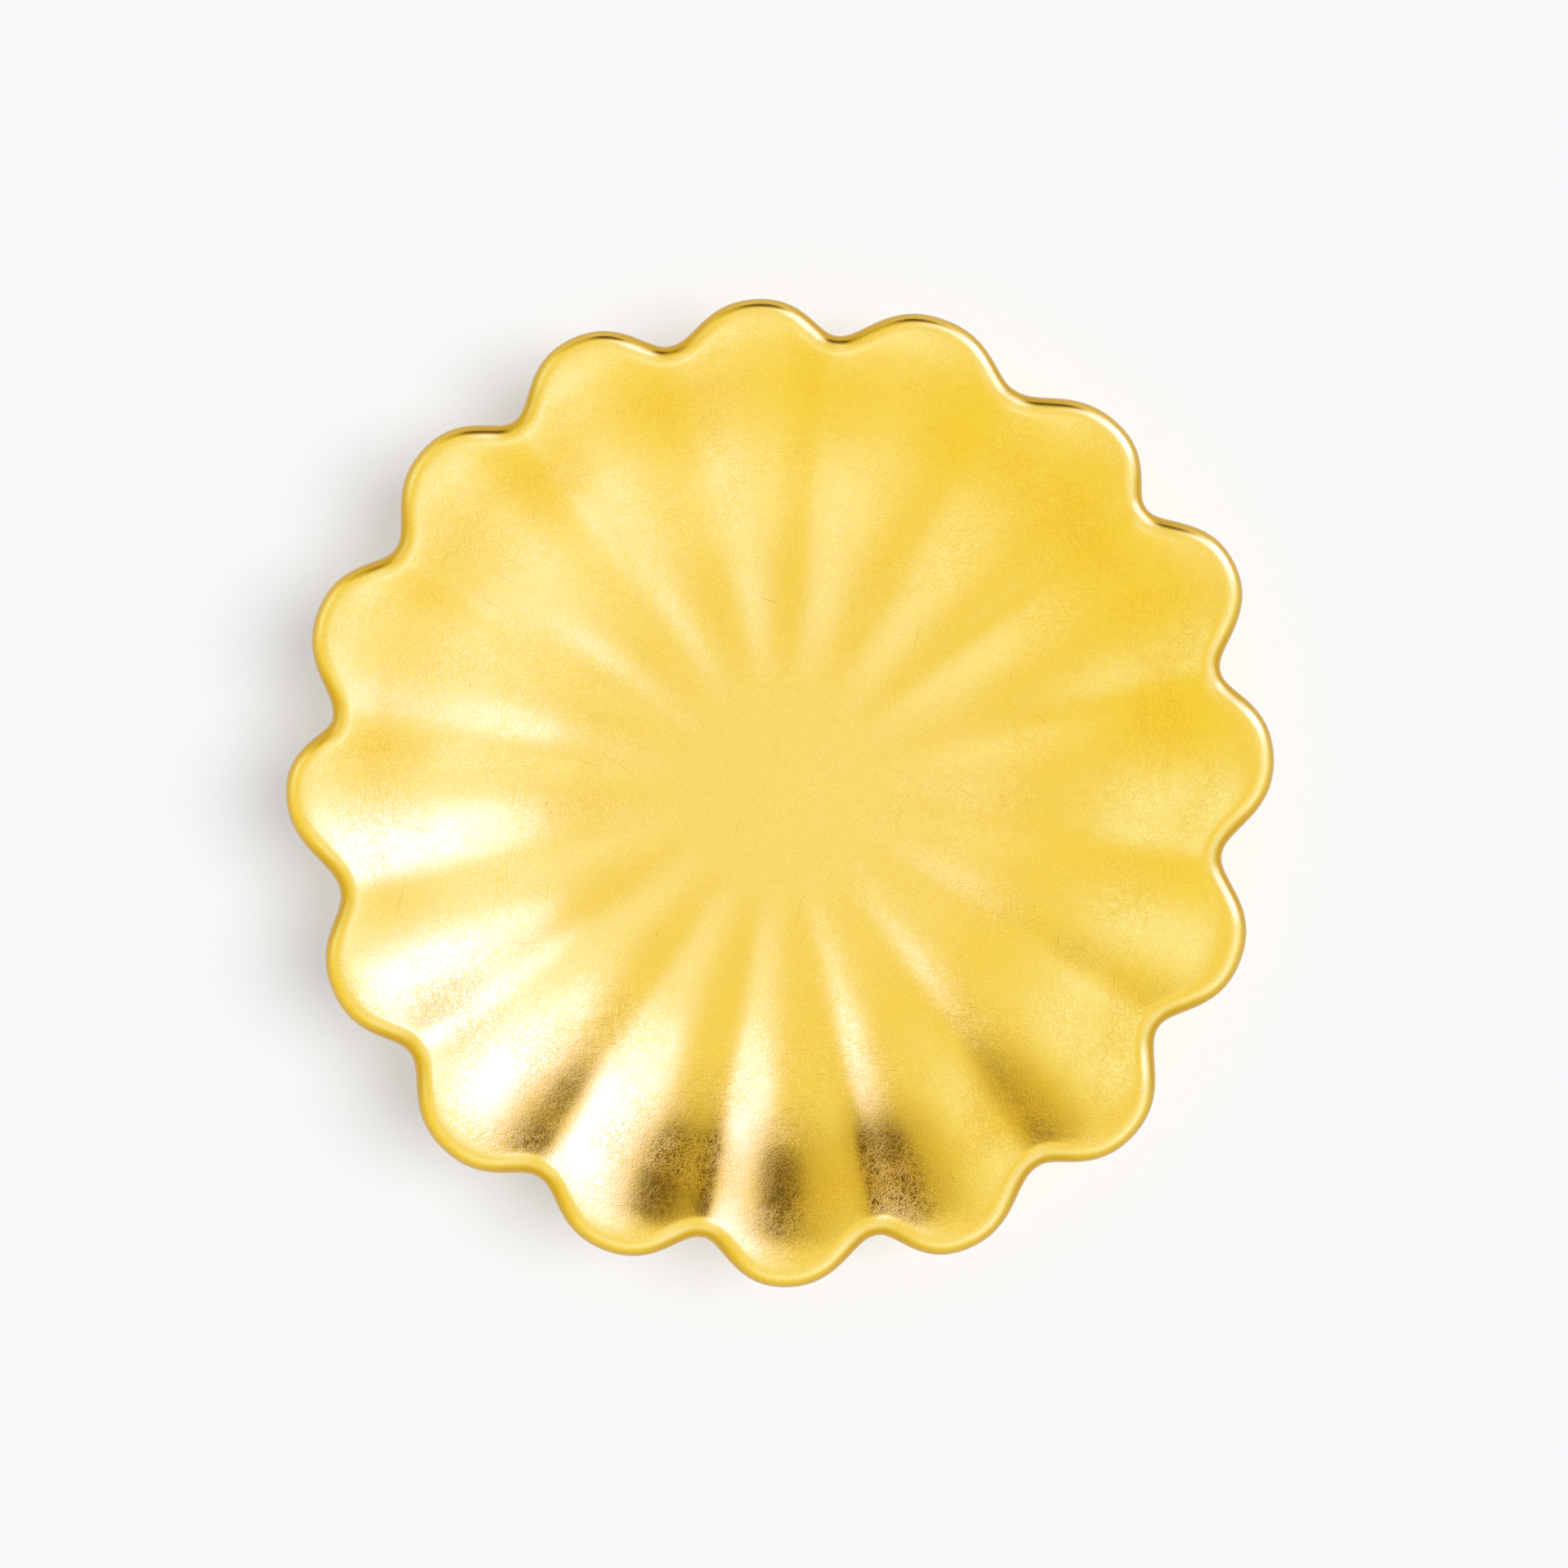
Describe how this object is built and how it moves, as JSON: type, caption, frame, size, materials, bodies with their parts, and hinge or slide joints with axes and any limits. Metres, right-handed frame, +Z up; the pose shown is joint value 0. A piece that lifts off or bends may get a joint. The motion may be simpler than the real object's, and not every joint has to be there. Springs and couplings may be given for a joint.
{
  "type": "urli bowl",
  "caption": "Shallow round brass dish with scalloped, fluted petals and a rolled lip, on a low foot ring, for floating flowers and tea lights.",
  "frame": {"origin": "under the middle of the dish's outline, on the surface it stands on", "axes": "+Z up out of the open side of the dish; +X and +Y lie in the plane it stands on, and the round dish has no front"},
  "size_m": [0.1992, 0.1994, 0.0335],
  "materials": {
    "satin_brass": "satin, hand burnished with soft rubbing marks",
    "wire_brass": "as drawn, dull",
    "foot_brass": "turned, with fine circular tool marks",
    "felt": "dense pressed wool felt"
  },
  "bodies": {
    "root": {"bowl_shell": "satin_brass", "rim_wire": "wire_brass", "foot_ring": "foot_brass", "foot_pad_1": "felt", "foot_pad_2": "felt", "foot_pad_3": "felt", "foot_pad_4": "felt"}
  },
  "joints": []
}
